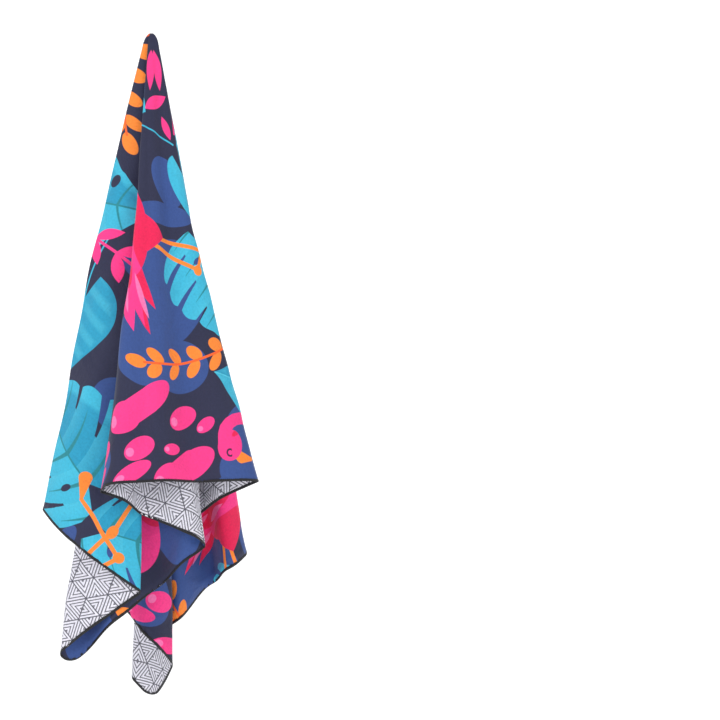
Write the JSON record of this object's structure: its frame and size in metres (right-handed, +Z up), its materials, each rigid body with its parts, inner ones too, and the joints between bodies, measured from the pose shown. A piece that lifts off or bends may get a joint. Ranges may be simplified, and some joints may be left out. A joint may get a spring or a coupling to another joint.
{
  "type": "quick dry towel",
  "caption": "Thin printed microfibre towel with an overlocked edge, hanging in folds from one point near the middle of a long side.",
  "frame": {"origin": "the point of the cloth that hangs on the hook, at the top of the bunch", "axes": "+Z up, +X to the right of someone looking at the towel's front, +Y from front to back"},
  "size_m": [0.362, 0.4218, 1.1126],
  "materials": {
    "printed_cloth": "matt brushed microfibre, tropical print on the face and a white triangle pattern on the back",
    "edging_thread": "matt black overlock thread"
  },
  "bodies": {
    "root": {"printed_cloth": "printed_cloth", "edging_near_side_upper": "edging_thread", "edging_upper_end": "edging_thread", "edging_far_side": "edging_thread", "edging_lower_end": "edging_thread", "edging_near_side_lower": "edging_thread"}
  },
  "joints": []
}
